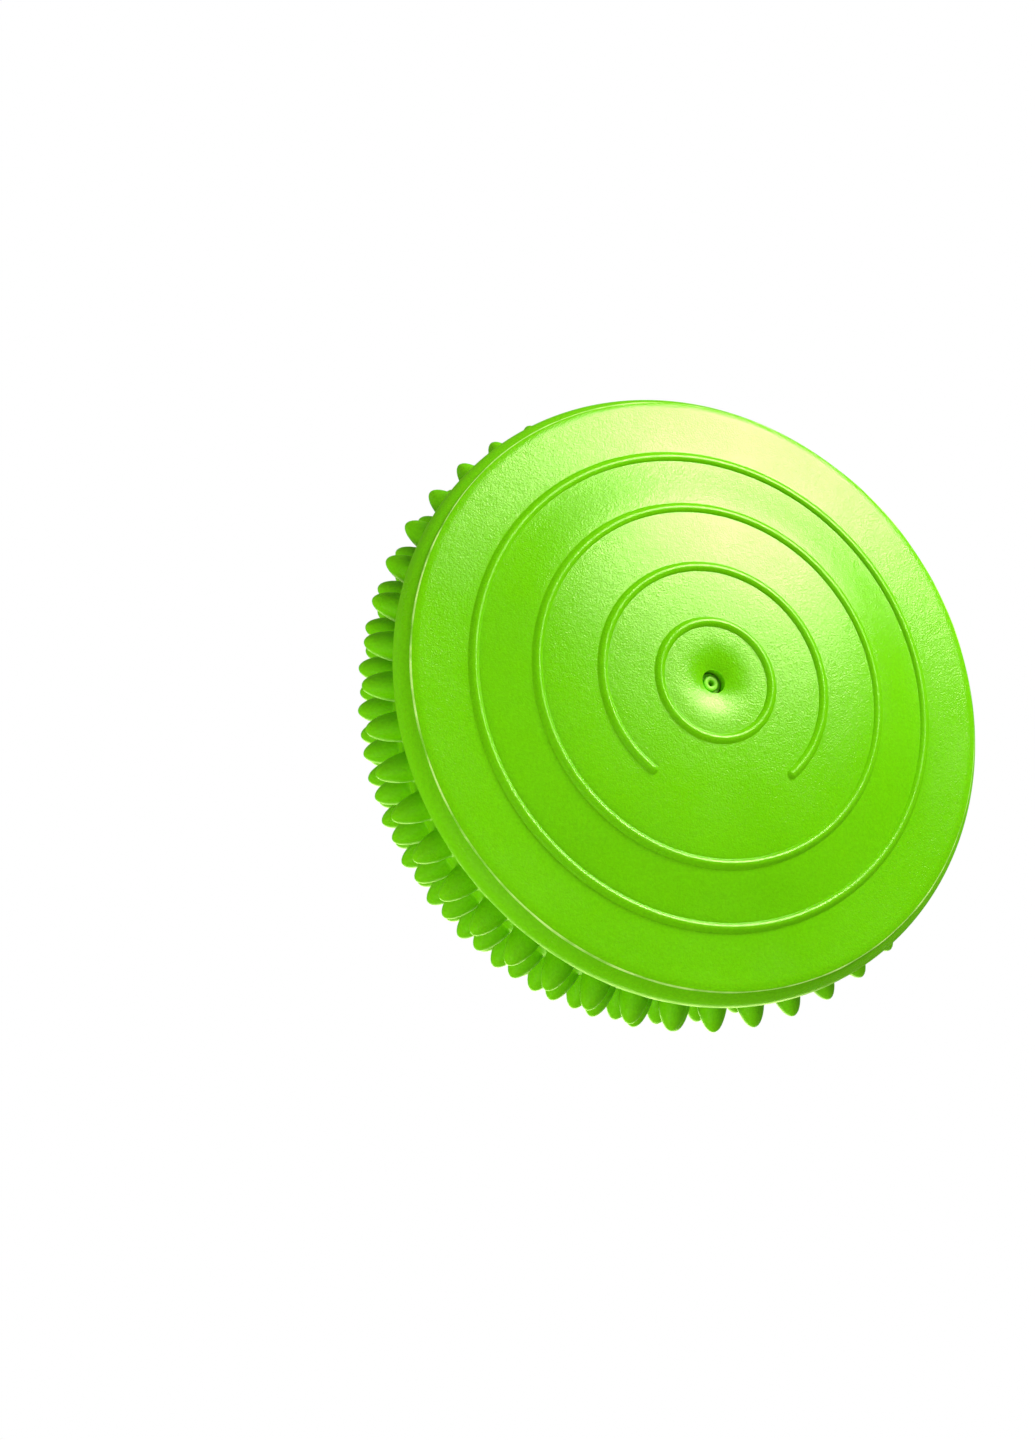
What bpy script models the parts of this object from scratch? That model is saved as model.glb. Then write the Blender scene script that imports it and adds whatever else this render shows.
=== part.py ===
"""An air-filled balance pad: a spiked half-dome skin on a ribbed base skin with a needle valve.

The pad stands on its base with the dome up. The origin is the middle of the base, at the height
of the innermost rib's crest, which is what touches the floor. +Z is up.
"""

import math

import bmesh
import bpy
from mathutils import Matrix, Vector

MM = 0.001
GAP = 0.3 * MM  # between neighbouring solids
TURN = 2 * math.pi

# Rim and skins
RIM_R = 81.0 * MM
RIM_Z = 16.0 * MM  # where the side band is widest
PARTING_R = 78.0 * MM
PARTING_Z = 10.7 * MM
SKIN = 3.8 * MM
REBATE_R = 75.0 * MM
REBATE_TOP_Z = 13.4 * MM

# Dome: one Bezier curve from the crown to its foot, turned about the Z axis over a narrow flange
DOME_R = 76.3 * MM
DOME_FOOT_Z = 18.8 * MM
CROWN_Z = 87.8 * MM
CROWN_HANDLE = 63.0 * MM  # how far the curve holds on level from the crown
FOOT_HANDLE = 17.5 * MM  # how far it holds on upright from the foot
SEGMENTS = 48  # round the dome and the base
DOME_BANDS = 8

# Spikes: rings at even steps along the dome's meridian, and one spike at the crown
SPIKE_RINGS = 10
SPIKE_LOWEST_Z = 28.9 * MM
SPIKE_PITCH = 11.1 * MM
SPIKE_HEIGHT = 8.9 * MM
SPIKE_BASE_R = 4.5 * MM
SPIKE_ROOT = 1.3 * MM  # how deep a spike's root goes into the skin
SPIKE_SIDES = 6
FIRST_TURN = 0.38  # the lowest ring starts this many pitches round from +X
RING_TURN = 0.735  # each ring starts this many pitches further round than the one below

# Base: its height over the floor by radius, both in millimetres, and four raised ribs
BASE_SKIN_Z = {0.0: 0.75, 15.5: 0.9, 30.6: 1.88, 47.3: 4.13, 62.7: 8.18, 71.0: 9.4, 78.0: 10.15}
RIB_RADII = (15.5 * MM, 30.6 * MM, 47.3 * MM, 62.7 * MM)
RIB_HEIGHT = 0.9 * MM
RIB_FOOT = 1.5 * MM  # half the rib's width where it leaves the skin
RIB_CREST = 0.65 * MM  # half the width of its flat crest
OPEN_RIB = 1  # this rib stops short on the -Y side
OPEN_RIB_GAP = math.radians(78.0)

# Valve: a dimple leads to a round recess, with the needle valve at its end
DIMPLE_R = 12.5 * MM
DIMPLE_LIP_Z = 2.2 * MM
DIMPLE_POWER = 2.6
RECESS_R = 3.15 * MM
SEAT_R = 5.2 * MM
SEAT_Z = 5.2 * MM
BOSS_R = 8.6 * MM
BOSS_TOP_Z = 12.0 * MM
SLEEVE_BORE_R = 3.3 * MM
SLEEVE_FLANGE_R = 8.0 * MM
SLEEVE_TOP_Z = 14.0 * MM
CORE_R = 3.0 * MM
CORE_FACE_Z = 4.8 * MM
CORE_HEAD_R = 5.4 * MM
CORE_TOP_Z = 16.4 * MM
NIPPLE_R = 2.0 * MM
NIPPLE_Z = 3.7 * MM
NEEDLE_R = 0.7 * MM
NEEDLE_END_Z = 14.8 * MM
VALVE_SEGMENTS = 24

LIME = (0.10, 0.48, 0.004, 1.0)
DEEP_LIME = (0.07, 0.38, 0.004, 1.0)
MILKY_GREEN = (0.30, 0.60, 0.10, 1.0)


def clear_scene():
    for old in list(bpy.data.objects):
        bpy.data.objects.remove(old, do_unlink=True)


def material(name, colour, roughness):
    made = bpy.data.materials.new(name)
    made.use_nodes = True
    shader = made.node_tree.nodes["Principled BSDF"]
    shader.inputs["Base Color"].default_value = colour
    shader.inputs["Roughness"].default_value = roughness
    shader.inputs["Metallic"].default_value = 0.0
    return made


def finish_object(name, bm, surface, smooth_angle=math.radians(35)):
    bmesh.ops.recalc_face_normals(bm, faces=bm.faces)
    mesh = bpy.data.meshes.new(name)
    bm.to_mesh(mesh)
    bm.free()
    mesh.shade_smooth()
    mesh.set_sharp_from_angle(angle=smooth_angle)
    mesh.materials.append(surface)
    made = bpy.data.objects.new(name, mesh)
    bpy.context.scene.collection.objects.link(made)
    return made


def turned(profile, segments, closed):
    """The solid that a profile of (radius, height) points sweeps out about the Z axis."""
    bm = bmesh.new()
    ring = [bm.verts.new((radius, 0.0, height)) for radius, height in profile]
    pairs = list(zip(ring, ring[1:] + ring[:1])) if closed else list(zip(ring, ring[1:]))
    edges = [bm.edges.new(pair) for pair in pairs]
    bmesh.ops.spin(
        bm,
        geom=ring + edges,
        cent=(0, 0, 0),
        axis=(0, 0, 1),
        angle=TURN,
        steps=segments,
        use_merge=True,
    )
    bmesh.ops.remove_doubles(bm, verts=bm.verts, dist=0.01 * MM)
    return bm


def join_by_union(body, tool, name):
    """Adds the tool's solid to the body with a Boolean, and keeps the tool as a hidden guide."""
    tool.hide_render = True
    tool.display_type = "WIRE"
    union = body.modifiers.new(name, "BOOLEAN")
    union.operation = "UNION"
    union.solver = "EXACT"
    union.object = tool


def dome_point(t, inset=0.0):
    """A point of the dome's meridian, from the foot at 0 to the crown at 1, and its inset copy."""
    foot = Vector((DOME_R - inset, DOME_FOOT_Z))
    crown = Vector((0.0, CROWN_Z - inset))
    upright = foot + Vector((0.0, FOOT_HANDLE))
    level = crown + Vector((CROWN_HANDLE, 0.0))
    weights = ((1 - t) ** 3, 3 * t * (1 - t) ** 2, 3 * t * t * (1 - t), t**3)
    point = sum((w * p for w, p in zip(weights, (foot, upright, level, crown))), Vector((0, 0)))
    return point.x, point.y


def dome_meridian(steps):
    """Points at even distances along the meridian, from the lowest spikes' height to the crown."""
    samples = [dome_point(i / 2000) for i in range(2001)]
    samples = [p for p in samples if p[1] >= SPIKE_LOWEST_Z]
    travelled = [0.0]
    for a, b in zip(samples, samples[1:]):
        travelled.append(travelled[-1] + math.dist(a, b))
    points = []
    at = 0
    for i in range(steps + 1):
        wanted = travelled[-1] * i / steps
        while at < len(travelled) - 1 and travelled[at] < wanted:
            at += 1
        before, after = samples[max(at - 1, 0)], samples[min(at + 1, len(samples) - 1)]
        slope = Vector((after[0] - before[0], after[1] - before[1])).normalized()
        points.append((samples[at], (slope.y, -slope.x)))
    return points


def dome_shell(surface):
    """The upper skin: side band, flange and dome, open below, with every spike moulded on."""
    steps = [i / DOME_BANDS for i in range(DOME_BANDS + 1)]
    outer = [dome_point(t) for t in reversed(steps)]
    flange = [
        (RIM_R - 0.7 * MM, RIM_Z + 1.4 * MM),
        (RIM_R, RIM_Z + 0.6 * MM),
        (RIM_R, RIM_Z - 0.8 * MM),
        (RIM_R - 0.6 * MM, RIM_Z - 2.8 * MM),
        (PARTING_R + 1.2 * MM, PARTING_Z + 0.9 * MM),
        (PARTING_R, PARTING_Z + GAP / 2),
    ]
    rebate_r = REBATE_R + GAP
    mouth = [
        (rebate_r, PARTING_Z + GAP / 2),
        (rebate_r, REBATE_TOP_Z + 0.8 * MM),
        (DOME_R - SKIN, DOME_FOOT_Z + 1.0 * MM),
    ]
    inner = [dome_point(t, SKIN) for t in steps[1:]]
    profile = outer + flange + mouth + inner
    shell = finish_object("dome_shell", turned(profile, SEGMENTS, False), surface)

    bm = bmesh.new()
    for ring, ((radius, height), (out, up)) in enumerate(dome_meridian(SPIKE_RINGS)):
        middle_r = radius + out * SPIKE_HEIGHT / 2
        crown = ring == SPIKE_RINGS
        count = 1 if crown else round(TURN * middle_r / SPIKE_PITCH)
        for i in range(count):
            azimuth = TURN * (i + FIRST_TURN + ring * RING_TURN) / count
            turn = Matrix.Rotation(azimuth, 4, "Z")
            lean = Matrix.Rotation(0.0 if crown else math.atan2(out, up), 4, "Y")
            lift = Matrix.Translation((0, 0, (SPIKE_HEIGHT - SPIKE_ROOT) / 2))
            place = Matrix.Translation((0.0 if crown else radius, 0, height))
            bmesh.ops.create_cone(
                bm,
                cap_ends=True,
                segments=SPIKE_SIDES,
                radius1=SPIKE_BASE_R,
                radius2=0.0,
                depth=SPIKE_HEIGHT + SPIKE_ROOT,
                matrix=turn @ place @ lean @ lift,
            )
    spikes = finish_object("spike_guide", bm, surface)
    join_by_union(shell, spikes, "moulded_spikes")
    return shell


def base_height(radius):
    """The underside's height over the floor: a smooth curve through the stations given above."""
    stations = [(r * MM, z * MM) for r, z in sorted(BASE_SKIN_Z.items())]
    slopes = [0.0]
    for (r0, z0), (r1, z1) in zip(stations, stations[2:]):
        slopes.append((z1 - z0) / (r1 - r0))
    slopes.append((stations[-1][1] - stations[-2][1]) / (stations[-1][0] - stations[-2][0]))
    for i, ((r0, z0), (r1, z1)) in enumerate(zip(stations, stations[1:])):
        if radius <= r1 or i == len(stations) - 2:
            span = r1 - r0
            t = (radius - r0) / span
            rise = z0 * (1 + 2 * t) * (1 - t) ** 2 + z1 * t * t * (3 - 2 * t)
            return rise + span * (slopes[i] * t * (1 - t) ** 2 - slopes[i + 1] * t * t * (1 - t))


def rib_section(radius):
    """A rib's four corners, from its inner foot over its flat crest to its outer foot."""
    crest_z = base_height(radius) - RIB_HEIGHT
    return [
        (radius - RIB_FOOT, base_height(radius - RIB_FOOT)),
        (radius - RIB_CREST, crest_z),
        (radius + RIB_CREST, crest_z),
        (radius + RIB_FOOT, base_height(radius + RIB_FOOT)),
    ]


def dimple_points(steps=4):
    """The funnel from the underside down to the recess's lip, as seen from below."""
    points = []
    for i in range(steps + 1):
        radius = RECESS_R + (DIMPLE_R - RECESS_R) * i / steps
        depth = (1 - i / steps) ** DIMPLE_POWER * (DIMPLE_LIP_Z - base_height(RECESS_R))
        points.append((radius, base_height(radius) + depth))
    return points


def base_shell(surface):
    """The lower skin: ribs outside, a boss for the valve inside, and a rebate for the dome."""
    under = dimple_points()
    for i, radius in enumerate(RIB_RADII):
        if i == OPEN_RIB:
            under.append((radius, base_height(radius)))
        else:
            under += rib_section(radius)
    under.append((71 * MM, base_height(71 * MM)))
    rim = [
        (PARTING_R, base_height(PARTING_R)),
        (PARTING_R, PARTING_Z - GAP / 2),
        (REBATE_R, PARTING_Z - GAP / 2),
        (REBATE_R, REBATE_TOP_Z),
    ]
    inside = [(r, base_height(r) + SKIN) for r in (64 * MM, 48 * MM, 30 * MM)]
    valve_seat = [
        (BOSS_R + 2.0 * MM, base_height(BOSS_R) + SKIN + 1.0 * MM),
        (BOSS_R, base_height(BOSS_R) + SKIN + 3.0 * MM),
        (BOSS_R, BOSS_TOP_Z),
        (SEAT_R, BOSS_TOP_Z),
        (SEAT_R, SEAT_Z - GAP),
        (RECESS_R, SEAT_Z - GAP),
    ]
    profile = under + rim + inside + valve_seat
    shell = finish_object("base_shell", turned(profile, SEGMENTS, True), surface)

    bm = bmesh.new()
    section = rib_section(RIB_RADII[OPEN_RIB])
    floor = max(z for _, z in section)
    corners = section + [(r, floor + 0.6 * MM) for r in (section[3][0], section[0][0])]
    steps = round(SEGMENTS * (TURN - OPEN_RIB_GAP) / TURN)
    start = -math.pi / 2 + OPEN_RIB_GAP / 2
    loops = []
    for i in range(steps + 1):
        azimuth = start + (TURN - OPEN_RIB_GAP) * i / steps
        narrow = 0.55 if i in (0, steps) else 1.0
        loop = []
        for radius, height in corners:
            radius = RIB_RADII[OPEN_RIB] + (radius - RIB_RADII[OPEN_RIB]) * narrow
            spot = Vector((radius * math.cos(azimuth), radius * math.sin(azimuth), height))
            loop.append(bm.verts.new(spot))
        loops.append(loop)
    for a, b in zip(loops, loops[1:]):
        for j in range(len(corners)):
            k = (j + 1) % len(corners)
            bm.faces.new((a[j], a[k], b[k], b[j]))
    bm.faces.new(loops[0])
    bm.faces.new(loops[-1])
    open_rib = finish_object("open_rib_guide", bm, surface)
    join_by_union(shell, open_rib, "open_rib")
    return shell


def valve_sleeve(surface):
    """The flanged bush that is bonded into the base's boss and holds the core."""
    outer_r = SEAT_R - GAP
    profile = [
        (SLEEVE_BORE_R, SLEEVE_TOP_Z),
        (SLEEVE_FLANGE_R, SLEEVE_TOP_Z),
        (SLEEVE_FLANGE_R, BOSS_TOP_Z + GAP),
        (outer_r, BOSS_TOP_Z + GAP),
        (outer_r, SEAT_Z),
        (SLEEVE_BORE_R, SEAT_Z),
    ]
    return finish_object("valve_sleeve", turned(profile, VALVE_SEGMENTS, True), surface)


def valve_core(surface):
    """The soft plug that closes on the inflation needle, with a blind needle hole."""
    profile = [
        (0.0, CORE_TOP_Z),
        (CORE_HEAD_R - 1.0 * MM, CORE_TOP_Z),
        (CORE_HEAD_R, CORE_TOP_Z - 0.7 * MM),
        (CORE_HEAD_R, SLEEVE_TOP_Z + GAP),
        (CORE_R, SLEEVE_TOP_Z + GAP),
        (CORE_R, CORE_FACE_Z),
        (NIPPLE_R, CORE_FACE_Z),
        (NIPPLE_R - 0.2 * MM, NIPPLE_Z),
        (NEEDLE_R, NIPPLE_Z),
        (NEEDLE_R, NEEDLE_END_Z),
        (0.0, NEEDLE_END_Z),
    ]
    return finish_object("valve_core", turned(profile, VALVE_SEGMENTS, False), surface)


def main():
    clear_scene()
    skin = material("glossy_lime_pvc", LIME, 0.32)
    dome_shell(skin)
    base_shell(skin)
    valve_sleeve(material("milky_green_pvc", MILKY_GREEN, 0.45))
    valve_core(material("deep_lime_rubber", DEEP_LIME, 0.5))


main()
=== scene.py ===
"""The looks of the balance pad: fine moulded skins, every spike and rib, and glossy PVC.

The dome skin, the base skin and the two valve pieces stand for the plain solids of the frame.
Lengths are in metres, and the pad stands on the plane Z = 0 with its dome up.
"""

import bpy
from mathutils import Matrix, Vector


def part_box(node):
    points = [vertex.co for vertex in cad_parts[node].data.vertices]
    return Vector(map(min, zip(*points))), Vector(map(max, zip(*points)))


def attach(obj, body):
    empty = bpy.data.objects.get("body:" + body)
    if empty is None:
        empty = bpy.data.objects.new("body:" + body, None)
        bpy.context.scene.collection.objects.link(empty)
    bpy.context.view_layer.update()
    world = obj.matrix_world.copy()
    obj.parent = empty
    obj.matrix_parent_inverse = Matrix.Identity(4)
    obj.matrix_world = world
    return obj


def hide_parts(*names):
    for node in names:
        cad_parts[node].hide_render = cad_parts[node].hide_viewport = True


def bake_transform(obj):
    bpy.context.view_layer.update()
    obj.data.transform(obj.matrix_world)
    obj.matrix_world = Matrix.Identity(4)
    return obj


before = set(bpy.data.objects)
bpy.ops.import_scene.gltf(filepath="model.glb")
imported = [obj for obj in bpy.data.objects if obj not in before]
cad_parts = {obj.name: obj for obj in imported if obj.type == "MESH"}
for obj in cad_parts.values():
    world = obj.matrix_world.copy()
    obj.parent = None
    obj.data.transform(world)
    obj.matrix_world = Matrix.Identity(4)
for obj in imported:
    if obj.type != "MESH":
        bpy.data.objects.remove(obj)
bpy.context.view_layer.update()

import math

import bmesh
import bpy
import numpy as np
from mathutils import Matrix, Vector
from mathutils.geometry import delaunay_2d_cdt

MM = 0.001
TURN = 2 * math.pi

# The skins' outlines, as in the frame
RIM_R = 81.0 * MM
RIM_Z = 16.0 * MM
PARTING_R = 78.0 * MM
PARTING_Z = 10.7 * MM
SKIN = 3.8 * MM
GAP = 0.3 * MM
REBATE_R = 75.0 * MM
REBATE_TOP_Z = 13.4 * MM
SEAM_GAP = 0.12 * MM
FLASH_R = 78.25 * MM
FLASH_EDGE = 0.34 * MM  # how far the flash stands out past FLASH_R
DOME_R = 76.3 * MM
DOME_FOOT_Z = 18.8 * MM
CROWN_Z = 87.8 * MM
CROWN_HANDLE = 63.0 * MM
FOOT_HANDLE = 17.5 * MM

# Spikes
SPIKE_RINGS = 10
SPIKE_LOWEST_Z = 28.9 * MM
SPIKE_PITCH = 11.1 * MM
SPIKE_HEIGHT = 9.0 * MM
SPIKE_R = 3.95 * MM
SPIKE_FILLET = 0.6 * MM
SPIKE_FULLNESS = 1.75  # the higher, the blunter the bullet
SPIKE_CLEARANCE = 0.55 * MM  # from a spike's fillet to the nearest point of the skin's own mesh
SPIKE_SIDES = 24
SPIKE_STEPS = 9
FIRST_TURN = 0.38
RING_TURN = 0.735

# Base
BASE_SKIN_Z = {0.0: 0.75, 15.5: 0.9, 30.6: 1.88, 47.3: 4.13, 62.7: 8.18, 71.0: 9.4, 78.0: 10.15}
RIB_RADII = (15.5 * MM, 30.6 * MM, 47.3 * MM, 62.7 * MM)
RIB_HEIGHT = 0.9 * MM
RIB_HALF_WIDTH = 1.35 * MM
OPEN_RIB = 1
OPEN_RIB_GAP = math.radians(78.0)

# Valve
DIMPLE_R = 12.5 * MM
DIMPLE_LIP_Z = 2.2 * MM
DIMPLE_POWER = 2.6
RECESS_R = 3.15 * MM
BORE_R = 3.3 * MM
PLUG_R = 3.0 * MM
PLUG_HEAD_Z = 14.3 * MM
NIPPLE_R = 2.0 * MM
NIPPLE_HEIGHT = 1.1 * MM
NEEDLE_R = 0.7 * MM
NEEDLE_END_Z = 14.8 * MM
SEAT_R = 5.2 * MM
SEAT_Z = 5.2 * MM
BOSS_R = 8.6 * MM
BOSS_TOP_Z = 12.0 * MM

# Meshes
ROUND = 288  # facets round the turned parts of the dome skin
VALVE_ROUND = 96
SKIN_SPACING = 1.9 * MM  # between the points of the dome's own mesh, around the spikes
SKIN_CREASE = math.radians(50)
VALVE_CREASE = math.radians(40)

# Colours
LIME = ((0.118, 0.455, 0.0006, 1.0), (0.132, 0.49, 0.0008, 1.0))
MILKY = ((0.25, 0.52, 0.07, 1.0), (0.33, 0.62, 0.12, 1.0))
# The plug's own lime colour, set lighter than the skins as painted light for the shaded recess it sits
# in
RUBBER = ((0.19, 0.58, 0.02, 1.0), (0.23, 0.64, 0.03, 1.0))
# Painted highlight: a pale colour painted along the flash at the parting line, in place of light it
# catches
PAINTED_FLASH_HIGHLIGHT = (0.62, 0.95, 0.32, 1.0)
# Painted light: a lighter colour painted on the recess walls round the valve, where there is shade
PAINTED_RECESS_LIGHT = (0.3, 0.9, 0.01, 1.0)
SPECK = (0.55, 0.85, 0.3, 1.0)
WHITE = (1.0, 1.0, 1.0, 1.0)

# Camera
CAMERA_AT = (0.43006, -0.29441, -0.86262)
CAMERA_LOOK = (-0.38149, 0.28666, 0.8788)
CAMERA_UP = (0.03751, 0.95472, -0.29514)


# ---------------------------------------------------------------- shapes shared by the skins


def dome_curve(count, inset=0.0):
    """The dome's meridian from crown to foot, as (radius, height) rows."""
    t = np.linspace(1, 0, count)[:, None]
    foot = np.array((DOME_R - inset, DOME_FOOT_Z))
    crown = np.array((0.0, CROWN_Z - inset))
    upright = foot + (0.0, FOOT_HANDLE)
    level = crown + (CROWN_HANDLE, 0.0)
    u = 1 - t
    return u**3 * foot + 3 * t * u**2 * upright + 3 * t * t * u * level + t**3 * crown


def base_height(radius):
    """The underside's height over the floor, without its ribs and dimple."""
    stations = [(r * MM, z * MM) for r, z in sorted(BASE_SKIN_Z.items())]
    slopes = [0.0]
    for (r0, z0), (r1, z1) in zip(stations, stations[2:]):
        slopes.append((z1 - z0) / (r1 - r0))
    slopes.append((stations[-1][1] - stations[-2][1]) / (stations[-1][0] - stations[-2][0]))
    for i, ((r0, z0), (r1, z1)) in enumerate(zip(stations, stations[1:])):
        if radius <= r1 or i == len(stations) - 2:
            span = r1 - r0
            t = (radius - r0) / span
            rise = z0 * (1 + 2 * t) * (1 - t) ** 2 + z1 * t * t * (3 - 2 * t)
            return rise + span * (slopes[i] * t * (1 - t) ** 2 - slopes[i + 1] * t * t * (1 - t))


def smooth_mesh(name, points, faces, sharp_angle):
    """A smooth-shaded object from points and faces, with its faces turned outwards."""
    mesh = bpy.data.meshes.new(name)
    mesh.from_pydata([tuple(map(float, p)) for p in points], [], faces)
    bm = bmesh.new()
    bm.from_mesh(mesh)
    bmesh.ops.remove_doubles(bm, verts=bm.verts, dist=0.002 * MM)
    bmesh.ops.recalc_face_normals(bm, faces=bm.faces)
    bm.to_mesh(mesh)
    bm.free()
    mesh.shade_smooth()
    mesh.set_sharp_from_angle(angle=sharp_angle)
    made = bpy.data.objects.new(name, mesh)
    bpy.context.scene.collection.objects.link(made)
    return made


def ring_faces(first, second, count):
    """Quads between two rings of points that start at these two indices."""
    quads = []
    for i in range(count):
        j = (i + 1) % count
        quads.append((first + i, first + j, second + j, second + i))
    return quads


def turn_rows(points, faces, rows, azimuths, start=None):
    """Adds a turned stretch. Rows are (radius, height); start is the first index of a ring there."""
    count = len(azimuths)
    last = start
    for radius, height in rows:
        first = len(points)
        for a in azimuths:
            points.append((radius * math.cos(a), radius * math.sin(a), height))
        if last is not None:
            faces += ring_faces(last, first, count)
        last = first
    return last


def uneven_flash(points):
    """Lets the flash at the parting line stand out a little more in some places than in others."""
    for i, (x, y, z) in enumerate(points):
        radius = math.hypot(x, y)
        if radius > FLASH_R + 0.2 * MM and abs(z - PARTING_Z) < 0.3 * MM:
            a = math.atan2(y, x)
            wave = math.sin(5 * a + 1) + 0.7 * math.sin(13 * a + 2) + 0.5 * math.sin(31 * a)
            grow = 1 + 0.06 * MM * wave / radius
            points[i] = (x * grow, y * grow, z)


# ---------------------------------------------------------------- dome skin


class Meridian:
    """The dome's meridian at fine even steps, with its normals and a conformal plane radius."""

    def __init__(self, count=4000):
        curve = dome_curve(count)
        steps = np.hypot(*np.diff(curve, axis=0).T)
        travelled = np.concatenate(([0.0], np.cumsum(steps)))
        self.s = np.linspace(0, travelled[-1], count)
        self.r = np.interp(self.s, travelled, curve[:, 0])
        self.z = np.interp(self.s, travelled, curve[:, 1])
        slope = np.stack([np.gradient(self.r, self.s), np.gradient(self.z, self.s)], 1)
        slope /= np.linalg.norm(slope, axis=1)[:, None]
        self.out, self.up = -slope[:, 1], slope[:, 0]
        self.out[0], self.up[0] = 0.0, 1.0
        rate = 1 / self.r[1:] - 1 / self.s[1:]
        growth = np.cumsum((rate[1:] + rate[:-1]) / 2 * np.diff(self.s[1:]))
        self.plane = self.s * np.exp(np.concatenate(([0.0, 0.0], growth)))

    def nearest(self, points):
        """The surface points nearest to these, as indices into the meridian and azimuths."""
        radius = np.hypot(points[:, 0], points[:, 1])
        found = np.zeros(len(points), int)
        for start in range(0, len(points), 500):
            part = slice(start, start + 500)
            gap = (radius[part, None] - self.r) ** 2 + (points[part, 2, None] - self.z) ** 2
            found[part] = gap.argmin(1)
        return found, np.arctan2(points[:, 1], points[:, 0])

    def place(self, index, azimuth):
        """The points in space at these indices and azimuths."""
        spot = self.r[index] * np.cos(azimuth), self.r[index] * np.sin(azimuth), self.z[index]
        return np.stack(np.broadcast_arrays(*spot), -1)

    def flat(self, index, azimuth):
        """The same points laid out in a plane, where small circles stay circles."""
        spot = self.plane[index] * np.cos(azimuth), self.plane[index] * np.sin(azimuth)
        return np.stack(np.broadcast_arrays(*spot), -1)


def spike_outline():
    """(radius, height) from the fillet's outer edge up to just under the tip."""
    rows = []
    for i in range(4):
        a = i / 4 * math.pi / 2
        rows.append((SPIKE_R + SPIKE_FILLET * (1 - math.sin(a)), SPIKE_FILLET * (1 - math.cos(a))))
    for i in range(SPIKE_STEPS):
        a = (i + 0.2) / SPIKE_STEPS * math.pi / 2
        share = SPIKE_FILLET / SPIKE_HEIGHT + (1 - SPIKE_FILLET / SPIKE_HEIGHT) * math.sin(a)
        rows.append((SPIKE_R * (1 - share**SPIKE_FULLNESS) ** 0.5, SPIKE_HEIGHT * share))
    return rows


def spike_places(meridian):
    """(meridian index, azimuth) of every spike, in rings at even steps, with one at the crown."""
    low = int(np.argmin(abs(meridian.z - SPIKE_LOWEST_Z)))
    places = []
    for ring in range(SPIKE_RINGS + 1):
        travelled = meridian.s[low] * (1 - ring / SPIKE_RINGS)
        index = int(np.argmin(abs(meridian.s - travelled)))
        middle_r = meridian.r[index] + meridian.out[index] * SPIKE_HEIGHT / 2
        count = 1 if ring == SPIKE_RINGS else round(TURN * middle_r / SPIKE_PITCH)
        start = FIRST_TURN + ring * RING_TURN
        places += [(index, TURN * (i + start) / count) for i in range(count)]
    return places


def dome_top(meridian):
    """Points and faces of the spiked dome down to its foot, in one connected surface."""
    outline = spike_outline()
    sides = np.arange(SPIKE_SIDES) * TURN / SPIKE_SIDES
    places = spike_places(meridian)
    points, faces, flat, edges = [], [], [], []
    spike_of = []  # for each point, the number of the spike whose foot it is on, or -1
    centres = []
    spikes = []
    for number, (index, azimuth) in enumerate(places):
        middle = meridian.place(index, azimuth)
        out, up = meridian.out[index], meridian.up[index]
        around = np.array((-math.sin(azimuth), math.cos(azimuth), 0.0))
        axis = np.array((out * math.cos(azimuth), out * math.sin(azimuth), up))
        across = np.cross(around, axis)
        centres.append(middle)
        circle = np.cos(sides)[:, None] * across + np.sin(sides)[:, None] * around
        found, turn = meridian.nearest(middle + circle * outline[0][0])
        first = len(points)
        points += list(meridian.place(found, turn))
        flat += list(meridian.flat(found, turn))
        spike_of += [number] * SPIKE_SIDES
        edges += [(first + i, first + (i + 1) % SPIKE_SIDES) for i in range(SPIKE_SIDES)]
        spikes.append((first, middle, circle, axis))

    centres = np.array(centres)
    clear = outline[0][0] + SPIKE_CLEARANCE
    foot = meridian.s[-1]
    for travelled in np.arange(foot - SKIN_SPACING, SKIN_SPACING, -SKIN_SPACING):
        index = int(np.argmin(abs(meridian.s - travelled)))
        count = max(6, round(TURN * meridian.r[index] / SKIN_SPACING))
        half_step = 0.5 * (round(travelled / SKIN_SPACING) % 2)
        turn = (np.arange(count) + half_step) * TURN / count
        spots = meridian.place(np.full(count, index), turn)
        away = np.linalg.norm(spots[:, None] - centres, axis=2).min(1)
        kept = away > clear
        points += list(spots[kept])
        flat += list(meridian.flat(np.full(count, index), turn)[kept])
        spike_of += [-1] * int(kept.sum())
    rim_first = len(points)
    turn = np.arange(ROUND) * TURN / ROUND
    last = np.full(ROUND, len(meridian.s) - 1)
    points += list(meridian.place(last, turn))
    flat += list(meridian.flat(last, turn))
    spike_of += [-1] * ROUND
    edges += [(rim_first + i, rim_first + (i + 1) % ROUND) for i in range(ROUND)]

    scale = 1 / meridian.plane[-1]
    made = delaunay_2d_cdt([Vector(p * scale) for p in flat], edges, [], 0, 1e-7)
    source = [ids[0] for ids in made[3]]
    for triangle in made[2]:
        corners = tuple(source[v] for v in triangle)
        owners = {spike_of[v] for v in corners}
        inside_a_spike = len(owners) == 1 and -1 not in owners
        if not inside_a_spike:
            faces.append(corners)

    for first, middle, circle, axis in spikes:
        previous = first
        for radius, height in outline[1:]:
            found, turn = meridian.nearest(middle + circle * radius)
            start = len(points)
            points += list(meridian.place(found, turn) + axis * height)
            faces += ring_faces(previous, start, SPIKE_SIDES)
            previous = start
        tip = len(points)
        points.append(middle + axis * SPIKE_HEIGHT)
        faces += [(previous + i, previous + (i + 1) % SPIKE_SIDES, tip) for i in range(SPIKE_SIDES)]
    return points, faces, rim_first


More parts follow.
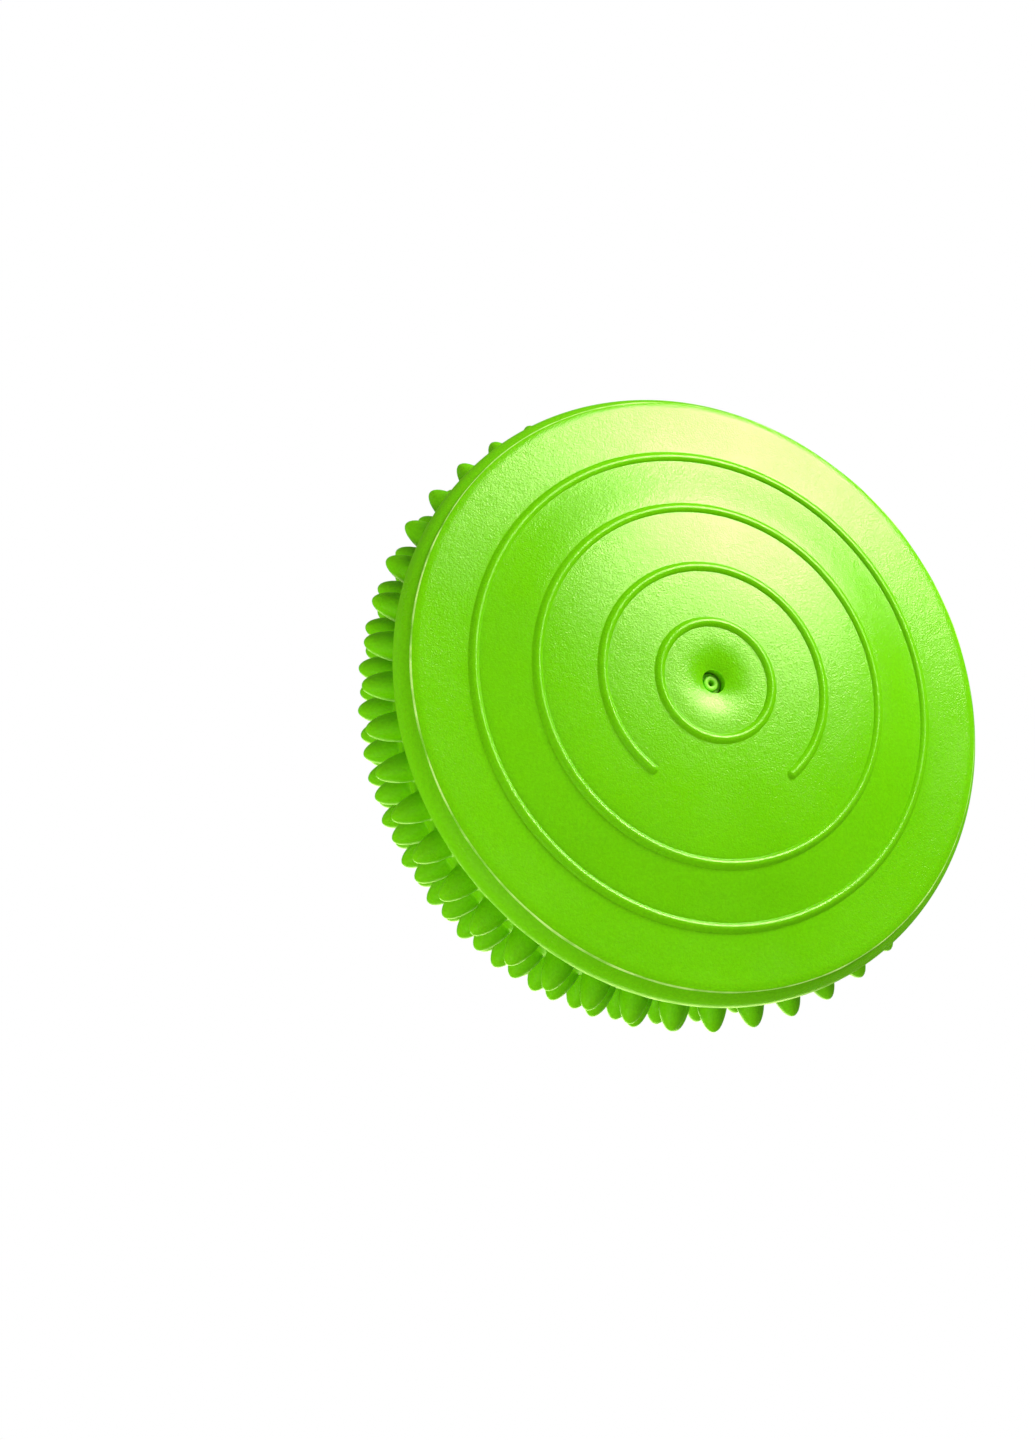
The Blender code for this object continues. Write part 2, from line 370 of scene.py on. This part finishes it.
def band_rows():
    """(radius, height) of the flange, side band and parting edge below the dome's foot."""
    rows = []
    for i in range(1, 7):
        a = i / 6 * math.radians(66)
        rows.append((DOME_R + 1.5 * MM * (1 - math.cos(a)), DOME_FOOT_Z - 1.2 * MM * math.sin(a)))
    shoulder = (RIM_R - 1.1 * MM, RIM_Z + 0.5 * MM)
    rows.append((RIM_R - 1.9 * MM, RIM_Z + 1.3 * MM))
    for i in range(7):
        a = math.radians(72) * (1 - i / 6)
        rows.append((shoulder[0] + 1.1 * MM * math.cos(a), shoulder[1] + 0.7 * MM * math.sin(a)))
    fall = RIM_Z - PARTING_Z - 0.45 * MM
    for i in range(12):
        share = i / 11
        rows.append((RIM_R - (RIM_R - FLASH_R) * share**2.2, RIM_Z - fall * share))
    lip = PARTING_Z + SEAM_GAP / 2
    rows += [(FLASH_R + 0.32 * MM, lip + 0.22 * MM), (FLASH_R + FLASH_EDGE, lip)]
    return rows


def make_dome(meridian):
    """The dome skin: spiked dome, flange, side band, and the wall's inner face."""
    points, faces, foot_ring = dome_top(meridian)
    azimuths = np.arange(ROUND) * TURN / ROUND
    lip = PARTING_Z + SEAM_GAP / 2
    inner_r = REBATE_R + GAP
    rows = band_rows()
    rows += [(inner_r, lip), (inner_r, REBATE_TOP_Z + 0.8 * MM)]
    rows += [(DOME_R - SKIN, DOME_FOOT_Z + 1.0 * MM)]
    rows += [tuple(p) for p in dome_curve(14, SKIN)[::-1][1:-1]]
    last = turn_rows(points, faces, rows, azimuths, foot_ring)
    top = len(points)
    points.append((0.0, 0.0, CROWN_Z - SKIN))
    faces += [(last + i, last + (i + 1) % ROUND, top) for i in range(ROUND)]
    uneven_flash(points)
    return smooth_mesh("dome_skin", points, faces, SKIN_CREASE)


# ---------------------------------------------------------------- base skin


def rib_rise(off):
    """How far a rib stands out, at this distance from its middle line."""
    share = min(abs(off) / RIB_HALF_WIDTH, 1.0)
    return RIB_HEIGHT * (1 - share**2)


def open_rib_off(radius, azimuth):
    """Distance from the open rib's middle line, which ends on each side of -Y."""
    middle = RIB_RADII[OPEN_RIB]
    from_gap = abs((azimuth + math.pi / 2 + math.pi) % TURN - math.pi)
    if from_gap >= OPEN_RIB_GAP / 2:
        return abs(radius - middle)
    spread = OPEN_RIB_GAP / 2 - from_gap
    across = radius * math.sin(spread)
    along = radius * math.cos(spread) - middle
    return math.hypot(across, along)


def underside(radius, azimuth):
    """The underside's height with its ribs and dimple."""
    height = base_height(radius)
    for i, middle in enumerate(RIB_RADII):
        if abs(radius - middle) < RIB_HALF_WIDTH:
            off = open_rib_off(radius, azimuth) if i == OPEN_RIB else radius - middle
            height -= rib_rise(off)
    if radius < DIMPLE_R:
        share = (radius - RECESS_R) / (DIMPLE_R - RECESS_R)
        height += (1 - max(share, 0.0)) ** DIMPLE_POWER * (DIMPLE_LIP_Z - base_height(RECESS_R))
    return height


def base_radii():
    """Radii of the underside's rings: close together over the ribs and in the dimple."""
    radii = [RECESS_R + (DIMPLE_R - RECESS_R) * (i / 20) ** 1.3 for i in range(21)]
    across = [i / 7 for i in range(-7, 8)]
    reach = RIB_HALF_WIDTH * 1.07
    for i, middle in enumerate(RIB_RADII):
        radii += [middle - reach] + [middle + RIB_HALF_WIDTH * t for t in across] + [middle + reach]
        end = (RIB_RADII + (PARTING_R,))[i + 1] - (reach if i < 3 else 0)
        start = middle + reach
        radii += [start + (end - start) * j / 8 for j in range(1, 8)]
    return radii


def base_azimuths():
    """Even azimuths, with closer ones over the open rib's two ends."""
    even = [i * TURN / 360 for i in range(360)]
    fine = []
    reach = math.radians(5)
    for side in (-1, 1):
        end = -math.pi / 2 + side * OPEN_RIB_GAP / 2
        fine += [(end + reach * (i / 12 - 1)) % TURN for i in range(25)]
        even = [a for a in even if abs((a - end + math.pi) % TURN - math.pi) > reach * 1.04]
    return sorted(even + fine)


def make_base():
    """The base skin: ribbed underside, parting edge, inner face, and the boss round the recess."""
    points, faces = [], []
    azimuths = base_azimuths()
    count = len(azimuths)
    last = None
    for radius in base_radii():
        first = len(points)
        for a in azimuths:
            height = underside(radius, a)
            points.append((radius * math.cos(a), radius * math.sin(a), height))
        if last is None:
            recess_ring = first
        else:
            faces += ring_faces(last, first, count)
        last = first
    lip = PARTING_Z - SEAM_GAP / 2
    edge_z = base_height(PARTING_R)
    rim = [
        (PARTING_R + 0.1 * MM, edge_z + 0.05 * MM),
        (FLASH_R + 0.1 * MM, lip - 0.26 * MM),
        (FLASH_R + 0.28 * MM, lip - 0.12 * MM),
        (FLASH_R + FLASH_EDGE, lip),
        (REBATE_R, lip),
        (REBATE_R, REBATE_TOP_Z),
    ]
    inside = [(r * MM, base_height(r * MM) + SKIN) for r in (70, 60, 48, 36, 24, 14)]
    boss = [
        (BOSS_R + 2.0 * MM, base_height(BOSS_R) + SKIN + 0.6 * MM),
        (BOSS_R + 0.4 * MM, base_height(BOSS_R) + SKIN + 2.0 * MM),
        (BOSS_R, base_height(BOSS_R) + SKIN + 3.6 * MM),
        (BOSS_R, BOSS_TOP_Z - 0.3 * MM),
        (BOSS_R - 0.3 * MM, BOSS_TOP_Z),
        (SEAT_R, BOSS_TOP_Z),
        (SEAT_R, SEAT_Z - 0.3 * MM),
        (RECESS_R, SEAT_Z - 0.3 * MM),
        (RECESS_R, DIMPLE_LIP_Z + 1.2 * MM),
        (RECESS_R - 0.02 * MM, DIMPLE_LIP_Z + 0.5 * MM),
        (RECESS_R - 0.05 * MM, DIMPLE_LIP_Z + 0.2 * MM),
    ]
    last = turn_rows(points, faces, rim + inside + boss, azimuths, last)
    faces += ring_faces(last, recess_ring, count)
    uneven_flash(points)
    return smooth_mesh("base_skin", points, faces, SKIN_CREASE)


# ---------------------------------------------------------------- valve


def make_sleeve():
    """The flanged bush that is bonded into the boss."""
    azimuths = [i * TURN / VALVE_ROUND for i in range(VALVE_ROUND)]
    low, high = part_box("valve_sleeve")
    flange_r = high.x
    outer_r = SEAT_R - GAP
    rows = [
        (BORE_R, low.z),
        (outer_r - 0.3 * MM, low.z),
        (outer_r, low.z + 0.3 * MM),
        (outer_r, BOSS_TOP_Z + GAP),
        (flange_r - 0.2 * MM, BOSS_TOP_Z + GAP),
        (flange_r, BOSS_TOP_Z + 0.5 * MM),
        (flange_r, high.z - 0.4 * MM),
        (flange_r - 0.4 * MM, high.z),
        (BORE_R + 0.3 * MM, high.z),
        (BORE_R, high.z - 0.3 * MM),
        (BORE_R, low.z),
    ]
    points, faces = [], []
    turn_rows(points, faces, rows, azimuths)
    return smooth_mesh("valve_bush", points, faces, VALVE_CREASE)


def make_core():
    """The soft plug with its blind needle hole and the small ring seen in the recess."""
    azimuths = [i * TURN / VALVE_ROUND for i in range(VALVE_ROUND)]
    low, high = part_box("valve_core")
    head_r = high.x
    face_z = low.z + NIPPLE_HEIGHT
    rows = [(NEEDLE_R * share, NEEDLE_END_Z) for share in (0.0, 1.0)]
    rows += [(NEEDLE_R, z * MM) for z in (12.0, 9.0, 6.5, 4.6)]
    rows += [(0.72 * MM, low.z + 0.3 * MM), (0.8 * MM, low.z + 0.1 * MM), (0.95 * MM, low.z)]
    rows += [(1.6 * MM, low.z), (1.85 * MM, low.z + 0.1 * MM), (1.97 * MM, low.z + 0.35 * MM)]
    rows += [(NIPPLE_R, face_z - 0.15 * MM), (NIPPLE_R + 0.15 * MM, face_z)]
    rows += [(PLUG_R - 0.2 * MM, face_z), (PLUG_R, face_z + 0.2 * MM), (PLUG_R, PLUG_HEAD_Z)]
    rows += [(head_r - 0.2 * MM, PLUG_HEAD_Z), (head_r, PLUG_HEAD_Z + 0.2 * MM)]
    rows += [(head_r, high.z - 1.0 * MM)]
    rows += [(head_r - 0.4 * MM, high.z - 0.35 * MM), (head_r - 1.2 * MM, high.z), (0.0, high.z)]
    points, faces = [], []
    turn_rows(points, faces, rows, azimuths)
    return smooth_mesh("valve_plug", points, faces, VALVE_CREASE)


# ---------------------------------------------------------------- materials


def node(tree, kind, **values):
    """A new shader node with these properties set."""
    made = tree.nodes.new(kind)
    for name, value in values.items():
        setattr(made, name, value)
    return made


def noise(tree, vector, scale, detail, roughness=0.5):
    """A noise value in object space. Scale counts cells to the metre."""
    made = node(tree, "ShaderNodeTexNoise")
    made.inputs["Scale"].default_value = scale
    made.inputs["Detail"].default_value = detail
    made.inputs["Roughness"].default_value = roughness
    tree.links.new(vector, made.inputs["Vector"])
    return made.outputs["Fac"]


def ramp(tree, source, low, high, low_colour, high_colour):
    """A colour that runs from one to the other while the source goes from low to high."""
    made = node(tree, "ShaderNodeValToRGB")
    first, second = made.color_ramp.elements
    first.position, second.position = low, high
    first.color, second.color = low_colour, high_colour
    tree.links.new(source, made.inputs["Fac"])
    return made.outputs["Color"]


def grey(value):
    return (value, value, value, 1.0)


def painted_light_zone(tree, vector, colour, painted_light_colour, middle_z, reach_z, radius, outside):
    """Painted light: mixes in a lighter colour, unevenly, near this height and inside or outside this
    radius.
    """
    parts = node(tree, "ShaderNodeSeparateXYZ")
    tree.links.new(vector, parts.inputs["Vector"])
    near = node(tree, "ShaderNodeMath", operation="COMPARE")
    tree.links.new(parts.outputs["Z"], near.inputs[0])
    near.inputs[1].default_value = middle_z
    near.inputs[2].default_value = reach_z
    across = node(tree, "ShaderNodeCombineXYZ")
    tree.links.new(parts.outputs["X"], across.inputs["X"])
    tree.links.new(parts.outputs["Y"], across.inputs["Y"])
    length = node(tree, "ShaderNodeVectorMath", operation="LENGTH")
    tree.links.new(across.outputs["Vector"], length.inputs[0])
    side = node(tree, "ShaderNodeMath", operation="GREATER_THAN" if outside else "LESS_THAN")
    tree.links.new(length.outputs["Value"], side.inputs[0])
    side.inputs[1].default_value = radius
    there = node(tree, "ShaderNodeMath", operation="MULTIPLY")
    tree.links.new(near.outputs["Value"], there.inputs[0])
    tree.links.new(side.outputs["Value"], there.inputs[1])
    uneven = ramp(tree, noise(tree, vector, 140.0, 2.0), 0.35, 0.6, grey(0.15), grey(0.8))
    share = node(tree, "ShaderNodeMath", operation="MULTIPLY")
    tree.links.new(there.outputs["Value"], share.inputs[0])
    tree.links.new(uneven, share.inputs[1])
    mixed = node(tree, "ShaderNodeMix", data_type="RGBA")
    tree.links.new(share.outputs["Value"], mixed.inputs["Factor"])
    tree.links.new(colour, mixed.inputs["A"])
    mixed.inputs["B"].default_value = painted_light_colour
    return mixed.outputs["Result"]


def pvc(name, colours, roughness, grain=1.0, glow=0.15, painted_light_zones=()):
    """Moulded soft PVC: slightly uneven colour, a fine matt grain, soft gloss, a few specks, and
    painted light in each zone given.
    """
    made = bpy.data.materials.new(name)
    made.use_nodes = True
    tree = made.node_tree
    shader = tree.nodes["Principled BSDF"]
    vector = node(tree, "ShaderNodeTexCoord").outputs["Object"]

    clouds = noise(tree, vector, 22.0, 3.0, 0.55)
    colour = ramp(tree, clouds, 0.3, 0.7, *colours)
    mottle = noise(tree, vector, 1400.0, 3.0, 0.6)
    shade = ramp(tree, mottle, 0.3, 0.7, grey(0.9), grey(1.08))
    mixed = node(tree, "ShaderNodeMix", data_type="RGBA", blend_type="MULTIPLY")
    mixed.inputs["Factor"].default_value = 1.0
    tree.links.new(colour, mixed.inputs["A"])
    tree.links.new(shade, mixed.inputs["B"])

    specks = node(tree, "ShaderNodeTexVoronoi", feature="F1")
    specks.inputs["Scale"].default_value = 95.0
    tree.links.new(vector, specks.inputs["Vector"])
    speck = ramp(tree, specks.outputs["Distance"], 0.02, 0.035, grey(1.0), grey(0.0))
    rare = node(tree, "ShaderNodeSeparateColor")
    tree.links.new(specks.outputs["Color"], rare.inputs["Color"])
    chosen = ramp(tree, rare.outputs["Red"], 0.9, 0.91, grey(0.0), grey(0.5))
    both = node(tree, "ShaderNodeMath", operation="MULTIPLY")
    tree.links.new(speck, both.inputs[0])
    tree.links.new(chosen, both.inputs[1])
    spotted = node(tree, "ShaderNodeMix", data_type="RGBA")
    tree.links.new(both.outputs["Value"], spotted.inputs["Factor"])
    tree.links.new(mixed.outputs["Result"], spotted.inputs["A"])
    spotted.inputs["B"].default_value = SPECK
    painted = spotted.outputs["Result"]
    for zone in painted_light_zones:
        painted = painted_light_zone(tree, vector, painted, *zone)
    tree.links.new(painted, shader.inputs["Base Color"])

    worn = noise(tree, vector, 60.0, 5.0, 0.65)
    gloss = ramp(tree, worn, 0.3, 0.75, grey(roughness - 0.05), grey(roughness + 0.08))
    tree.links.new(gloss, shader.inputs["Roughness"])

    fine = noise(tree, vector, 2200.0, 2.0, 0.6)
    coarse = noise(tree, vector, 380.0, 3.0, 0.5)
    summed = node(tree, "ShaderNodeMath", operation="MULTIPLY_ADD")
    tree.links.new(coarse, summed.inputs[0])
    summed.inputs[1].default_value = 0.8
    tree.links.new(fine, summed.inputs[2])
    bump = node(tree, "ShaderNodeBump")
    bump.inputs["Strength"].default_value = 0.55 * grain
    bump.inputs["Distance"].default_value = 0.15 * MM
    tree.links.new(summed.outputs["Value"], bump.inputs["Height"])
    tree.links.new(bump.outputs["Normal"], shader.inputs["Normal"])

    shader.inputs["IOR"].default_value = 1.45
    shader.inputs["Specular IOR Level"].default_value = 0.56
    shader.inputs["Specular Tint"].default_value = (0.95, 1.0, 0.55, 1.0)
    shader.inputs["Subsurface Weight"].default_value = glow
    shader.inputs["Subsurface Radius"].default_value = (0.4, 1.0, 0.15)
    shader.inputs["Subsurface Scale"].default_value = 1.5 * MM
    return made


# ---------------------------------------------------------------- stage


def make_floor():
    """A pale floor that shows from above only, and neither shades nor tints the pad."""
    mesh = bpy.data.meshes.new("floor")
    bm = bmesh.new()
    bmesh.ops.create_grid(bm, x_segments=1, y_segments=1, size=12.0)
    bm.to_mesh(mesh)
    bm.free()
    floor = bpy.data.objects.new("floor", mesh)
    bpy.context.scene.collection.objects.link(floor)
    surface = bpy.data.materials.new("pale_floor")
    surface.use_nodes = True
    tree = surface.node_tree
    tree.nodes.clear()
    diffuse = node(tree, "ShaderNodeBsdfDiffuse")
    diffuse.inputs["Color"].default_value = grey(0.55)
    glow = node(tree, "ShaderNodeEmission")
    glow.inputs["Color"].default_value = WHITE
    glow.inputs["Strength"].default_value = 0.45
    lit = node(tree, "ShaderNodeAddShader")
    clear = node(tree, "ShaderNodeBsdfTransparent")
    side = node(tree, "ShaderNodeNewGeometry")
    mix = node(tree, "ShaderNodeMixShader")
    out = node(tree, "ShaderNodeOutputMaterial")
    tree.links.new(diffuse.outputs["BSDF"], lit.inputs[0])
    tree.links.new(glow.outputs["Emission"], lit.inputs[1])
    tree.links.new(side.outputs["Backfacing"], mix.inputs["Fac"])
    tree.links.new(lit.outputs["Shader"], mix.inputs[1])
    tree.links.new(clear.outputs["BSDF"], mix.inputs[2])
    tree.links.new(mix.outputs["Shader"], out.inputs["Surface"])
    mesh.materials.append(surface)
    floor.visible_diffuse = False
    floor.visible_glossy = False
    floor.visible_transmission = False
    floor.visible_shadow = False


def make_world():
    """A white backdrop for the camera, a dim room that lights the pad, and a lime one in its gloss."""
    world = bpy.data.worlds.new("studio")
    bpy.context.scene.world = world
    world.use_nodes = True
    tree = world.node_tree
    tree.nodes.clear()
    path = node(tree, "ShaderNodeLightPath")
    room = node(tree, "ShaderNodeBackground")
    room.inputs["Color"].default_value = (1.0, 1.0, 0.8, 1.0)
    room.inputs["Strength"].default_value = 0.3
    mirrored = node(tree, "ShaderNodeBackground")
    mirrored.inputs["Color"].default_value = (0.5, 1.0, 0.12, 1.0)
    mirrored.inputs["Strength"].default_value = 0.4
    backdrop = node(tree, "ShaderNodeBackground")
    backdrop.inputs["Color"].default_value = WHITE
    backdrop.inputs["Strength"].default_value = 1.0
    mix = node(tree, "ShaderNodeMixShader")
    out = node(tree, "ShaderNodeOutputWorld")
    rooms = node(tree, "ShaderNodeMixShader")
    tree.links.new(path.outputs["Is Glossy Ray"], rooms.inputs["Fac"])
    tree.links.new(room.outputs["Background"], rooms.inputs[1])
    tree.links.new(mirrored.outputs["Background"], rooms.inputs[2])
    tree.links.new(path.outputs["Is Camera Ray"], mix.inputs["Fac"])
    tree.links.new(rooms.outputs["Shader"], mix.inputs[1])
    tree.links.new(backdrop.outputs["Background"], mix.inputs[2])
    tree.links.new(mix.outputs["Shader"], out.inputs["Surface"])


def softbox(name, direction, distance, size, power, mirrored=True, tint=(1.0, 0.98, 0.75)):
    """A square area light on this side of the pad, turned towards it. Gloss shows it if mirrored."""
    data = bpy.data.lights.new(name, "AREA")
    data.shape = "SQUARE"
    data.size = size
    data.energy = power
    data.color = tint
    light = bpy.data.objects.new(name, data)
    bpy.context.scene.collection.objects.link(light)
    away = Vector(direction).normalized()
    light.location = Vector((0.0, 0.0, 0.03)) + away * distance
    light.rotation_mode = "QUATERNION"
    light.rotation_quaternion = away.to_track_quat("Z", "Y")
    light.visible_glossy = mirrored


def make_camera():
    """A long lens below the floor, which looks up at the underside."""
    data = bpy.data.cameras.new("camera")
    data.sensor_width = 36.0
    data.lens = 100.0
    data.clip_start = 0.01
    data.clip_end = 50.0
    camera = bpy.data.objects.new("camera", data)
    bpy.context.scene.collection.objects.link(camera)
    ahead = Vector(CAMERA_LOOK).normalized()
    right = ahead.cross(Vector(CAMERA_UP)).normalized()
    up = right.cross(ahead)
    turn = Matrix((right, up, -ahead)).transposed().to_4x4()
    camera.matrix_world = Matrix.Translation(CAMERA_AT) @ turn
    bpy.context.scene.camera = camera


def make_lights():
    """A key and fills from below, and softer lights round and over the dome."""
    softbox("key_below", (-0.454, 0.584, -0.641), 0.8, 0.4, 11.0, tint=(1.0, 0.99, 0.86))
    softbox("fill_below", (0.55, -0.6, -0.9), 1.2, 0.9, 1.8, mirrored=False)
    softbox("low_side", (0.72, -0.66, -0.12), 1.0, 0.6, 8.6, mirrored=False)
    softbox("top", (-0.2, -0.3, 1.0), 1.1, 0.9, 9.0, tint=(0.85, 1.0, 0.4))
    softbox("left_side", (-0.9, -0.6, 0.5), 1.2, 0.7, 5.0, mirrored=False)
    softbox("right_side", (0.9, 0.5, 0.45), 1.3, 0.7, 5.0, mirrored=False)


# ---------------------------------------------------------------- assembly


def main():
    # Each painted-light zone: colour, middle height, reach above and below it, radius, and whether it
    # lies outside
    # The flash zone paints a pale highlight along the parting-line flash, on both skins
    flash = (PAINTED_FLASH_HIGHLIGHT, PARTING_Z, 0.34 * MM, FLASH_R - 0.1 * MM, True)
    # The recess zone paints light on the recess walls round the valve, where there is shade
    recess = (PAINTED_RECESS_LIGHT, DIMPLE_LIP_Z + 2.0 * MM, 2.1 * MM, RECESS_R + 0.05 * MM, False)

    dome = make_dome(Meridian())
    dome.data.materials.append(pvc("lime_pvc_dome", LIME, 0.3, painted_light_zones=(flash,)))
    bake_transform(dome)
    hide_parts("dome_shell")

    base = make_base()
    base.data.materials.append(pvc("lime_pvc_base", LIME, 0.2, painted_light_zones=(flash, recess)))
    sleeve = make_sleeve()
    sleeve.data.materials.append(pvc("milky_pvc", MILKY, 0.45, 0.6))
    core = make_core()
    core.data.materials.append(pvc("lime_rubber", RUBBER, 0.42, 0.6, 0.4))
    riders = (
        (base, "base_shell", "base_skin"),
        (sleeve, "valve_sleeve", "valve_sleeve"),
        (core, "valve_core", "valve_core"),
    )
    for piece, cad_node, slot in riders:
        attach(piece, "base")
        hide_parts(cad_node)

    make_floor()
    make_world()
    make_camera()
    make_lights()
    bpy.context.scene.view_settings.view_transform = "Standard"


main()
